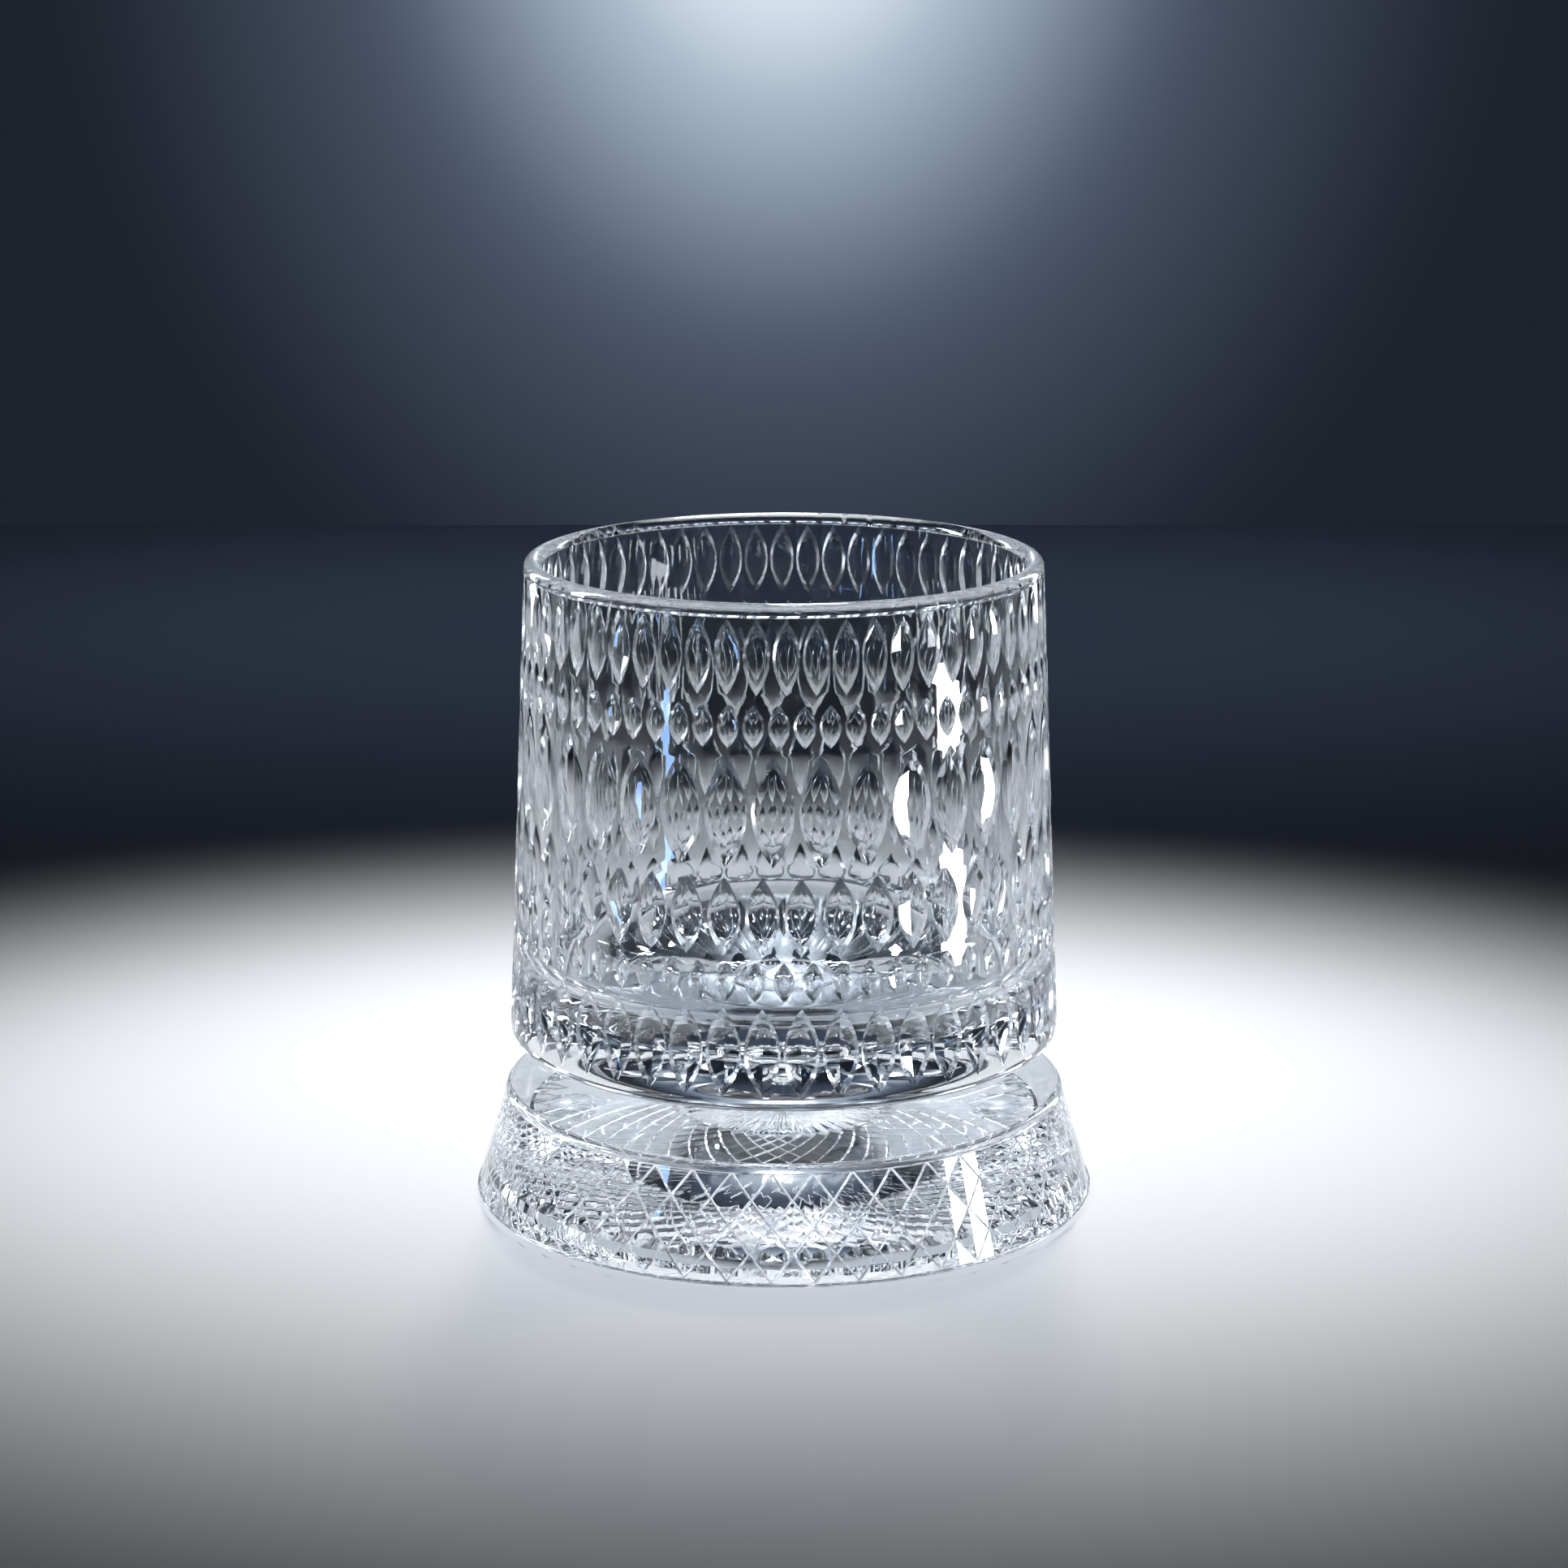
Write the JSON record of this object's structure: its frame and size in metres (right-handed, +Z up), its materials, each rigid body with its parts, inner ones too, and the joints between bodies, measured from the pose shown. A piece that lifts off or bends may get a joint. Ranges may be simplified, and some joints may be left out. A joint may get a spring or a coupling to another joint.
{
  "type": "whiskey tumbler",
  "caption": "Cut-glass whiskey tumbler that spins on a ball-bearing hub above a flared cut-glass stand and lifts off to drink from.",
  "frame": {"origin": "centre of the footprint, on the surface that the stand's feet rest on", "axes": "+Z up along the common axis of stand, bearing and tumbler; +X and +Y are equivalent"},
  "size_m": [0.0994, 0.0994, 0.1036],
  "materials": {
    "cut_crystal": "clear cut and polished crystal",
    "stand_crystal": "clear cut and polished crystal",
    "clear_silicone": "clear, satin",
    "cured_adhesive": "clear cured adhesive film",
    "plate_acrylic": "clear cast acrylic, turned and polished",
    "ground_steel": "ground",
    "race_polycarbonate": "clear polycarbonate, machined and vapour polished",
    "ball_glass": "polished soda-lime glass",
    "cage_nylon": "moulded natural nylon",
    "hub_acrylic": "clear cast acrylic, turned and polished",
    "spring_steel": "phosphated spring steel",
    "pad_silicone": "clear silicone, satin"
  },
  "bodies": {
    "stand": {"stand": "stand_crystal", "anti_slip_feet": "clear_silicone", "bond_film": "cured_adhesive", "base_plate": "plate_acrylic", "pivot_pin": "ground_steel", "lower_race": "race_polycarbonate", "retaining_clip": "spring_steel"},
    "ball_set": {"bearing_balls": "ball_glass", "ball_cage": "cage_nylon"},
    "turntable": {"upper_race": "race_polycarbonate", "turntable_hub": "hub_acrylic", "seat_pad": "pad_silicone"},
    "tumbler": {"tumbler": "cut_crystal"}
  },
  "joints": [
    {"name": "turntable_spin", "type": "hinge", "parent": "stand", "child": "turntable", "pos_m": [0, 0, 0.0235], "axis": [0, 0, 1], "continuous": true},
    {"name": "cage_spin", "type": "hinge", "parent": "stand", "child": "ball_set", "pos_m": [0, 0, 0.01925], "axis": [0, 0, 1], "continuous": true},
    {"name": "tumbler_lift", "type": "slide", "parent": "turntable", "child": "tumbler", "axis": [0, 0, 1], "range_m": [0, 0.06]}
  ],
  "couplings": [
    {"joint": "cage_spin", "follows": "turntable_spin", "ratio": 0.5}
  ]
}
